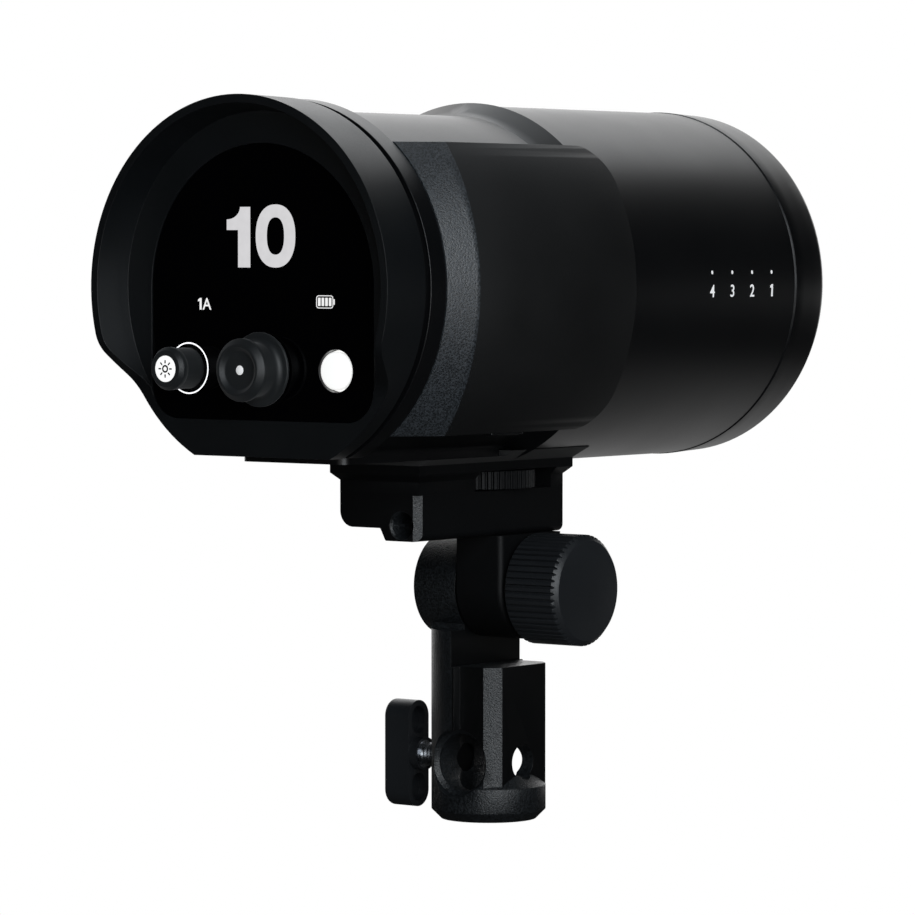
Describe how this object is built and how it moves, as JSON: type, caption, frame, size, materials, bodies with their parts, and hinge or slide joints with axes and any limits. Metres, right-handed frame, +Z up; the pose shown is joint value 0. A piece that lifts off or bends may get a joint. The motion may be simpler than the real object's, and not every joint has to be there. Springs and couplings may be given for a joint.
{
  "type": "monolight strobe",
  "caption": "Battery studio flash head on a tilting stand adapter: tubular body with a hooded control panel at the rear, clip-on battery pack and clamp socket for a light stand.",
  "frame": {"origin": "centre of the stand socket's mouth, on the socket's axis", "axes": "+X the way the flash fires, +Y to the left of a person standing behind it, +Z up; the socket opens downwards"},
  "size_m": [0.208, 0.11, 0.2007],
  "materials": {
    "black_polycarbonate": "fine moulded grain",
    "hood_plastic": "satin moulded",
    "black_gloss": "polished",
    "control_rubber": "soft-touch",
    "white_plastic": "satin",
    "cast_black": "powder coat on a die casting",
    "knob_plastic": "moulded, ribbed",
    "saddle_rubber": "matt",
    "zinc_steel": "zinc plated",
    "brass": "turned",
    "friction_fibre": "fibre",
    "circuit_board": "solder mask",
    "electronic": "sleeved",
    "bare_aluminium": "machined",
    "mirror_aluminium": "bright anodised",
    "clear_glass": "clear"
  },
  "bodies": {
    "stand_mount": {"stand_socket": "cast_black", "tilt_bolt": "zinc_steel", "friction_washer": "friction_fibre"},
    "clamp_foot": {"clamp_pad": "brass"},
    "clamp": {"clamp_screw": "zinc_steel", "clamp_handle": "knob_plastic"},
    "tilt_lock": {"tilt_knob": "knob_plastic", "knob_nut": "zinc_steel", "knob_washer": "knob_plastic"},
    "head": {"adapter_head": "cast_black", "adapter_plate": "cast_black", "adapter_screws": "zinc_steel", "adapter_pads": "saddle_rubber", "base_plate": "black_polycarbonate", "tripod_insert": "brass", "base_screws": "zinc_steel", "left_housing": "black_polycarbonate", "right_housing": "black_polycarbonate", "housing_screws": "zinc_steel", "trim_ring": "black_polycarbonate", "rear_hood": "hood_plastic", "display_glass": "black_gloss", "display_module": "electronic", "control_carrier": "black_polycarbonate", "control_board": "circuit_board", "rotary_encoders": "electronic", "button_switch": "electronic", "light_ring": "white_plastic", "side_cover": "black_polycarbonate", "contact_block": "black_polycarbonate", "power_board": "circuit_board", "flash_capacitors": "electronic", "capacitor_cradle": "black_polycarbonate", "transformer": "electronic", "front_tube": "hood_plastic", "front_ring": "hood_plastic", "bulkhead": "bare_aluminium", "fan_frame": "black_polycarbonate", "heat_sink": "bare_aluminium", "lamp_base": "bare_aluminium", "led_module": "electronic", "flash_tube": "clear_glass", "reflector": "mirror_aluminium", "front_glass": "clear_glass"},
    "lock": {"lock_wheel": "knob_plastic", "mounting_screw": "zinc_steel"},
    "dial_press": {"dial_plunger": "zinc_steel"},
    "dial": {"power_dial": "control_rubber", "dial_shaft": "zinc_steel"},
    "knob_press": {"knob_plunger": "zinc_steel"},
    "knob": {"lamp_knob": "control_rubber", "lamp_knob_disc": "white_plastic", "knob_shaft": "zinc_steel"},
    "button": {"test_button": "white_plastic"},
    "battery": {"battery_cover": "black_polycarbonate", "battery_case": "black_polycarbonate", "battery_cells": "electronic", "battery_contacts": "brass"},
    "latch": {"battery_latch": "black_polycarbonate"},
    "fan": {"fan_rotor": "black_polycarbonate"}
  },
  "joints": [
    {"name": "clamp_feed", "type": "slide", "parent": "stand_mount", "child": "clamp_foot", "axis": [0, -1, 0], "range_m": [0, 0.005]},
    {"name": "clamp_turn", "type": "hinge", "parent": "clamp_foot", "child": "clamp", "pos_m": [0, 0.024, 0.0165], "axis": [0, -1, 0], "range_deg": [0, 1445]},
    {"name": "tilt_lock_turn", "type": "hinge", "parent": "stand_mount", "child": "tilt_lock", "pos_m": [0, -0.0247, 0.0656], "axis": [0, -1, 0], "continuous": true},
    {"name": "head_tilt", "type": "hinge", "parent": "stand_mount", "child": "head", "pos_m": [0, 0, 0.0656], "axis": [0, 1, 0], "range_deg": [-70, 70]},
    {"name": "lock_wheel_turn", "type": "hinge", "parent": "head", "child": "lock", "pos_m": [-0.0066, 0, 0.096], "axis": [0, 0, 1], "continuous": true},
    {"name": "dial_push", "type": "slide", "parent": "head", "child": "dial_press", "axis": [1, 0, 0], "range_m": [0, 0.0003], "stiffness_N_per_m": 4000},
    {"name": "dial_turn", "type": "hinge", "parent": "dial_press", "child": "dial", "pos_m": [-0.1045, 0, 0.1284], "axis": [1, 0, 0], "continuous": true},
    {"name": "knob_push", "type": "slide", "parent": "head", "child": "knob_press", "axis": [1, 0, 0], "range_m": [0, 0.0003], "stiffness_N_per_m": 4000},
    {"name": "knob_turn", "type": "hinge", "parent": "knob_press", "child": "knob", "pos_m": [-0.1045, 0.0251, 0.1284], "axis": [1, 0, 0], "continuous": true},
    {"name": "button_push", "type": "slide", "parent": "head", "child": "button", "axis": [1, 0, 0], "range_m": [0, 0.0004], "stiffness_N_per_m": 2500},
    {"name": "battery_slide", "type": "slide", "parent": "head", "child": "battery", "axis": [0, -1, 0], "range_m": [0, 0.06]},
    {"name": "latch_push", "type": "slide", "parent": "battery", "child": "latch", "axis": [0, 0, 1], "range_m": [0, 0.0015], "stiffness_N_per_m": 800},
    {"name": "fan_spin", "type": "hinge", "parent": "head", "child": "fan", "pos_m": [0.004, 0, 0.15], "axis": [1, 0, 0], "continuous": true}
  ],
  "couplings": [
    {"joint": "clamp_turn", "follows": "clamp_feed", "rad_per_m": 5026.5}
  ]
}
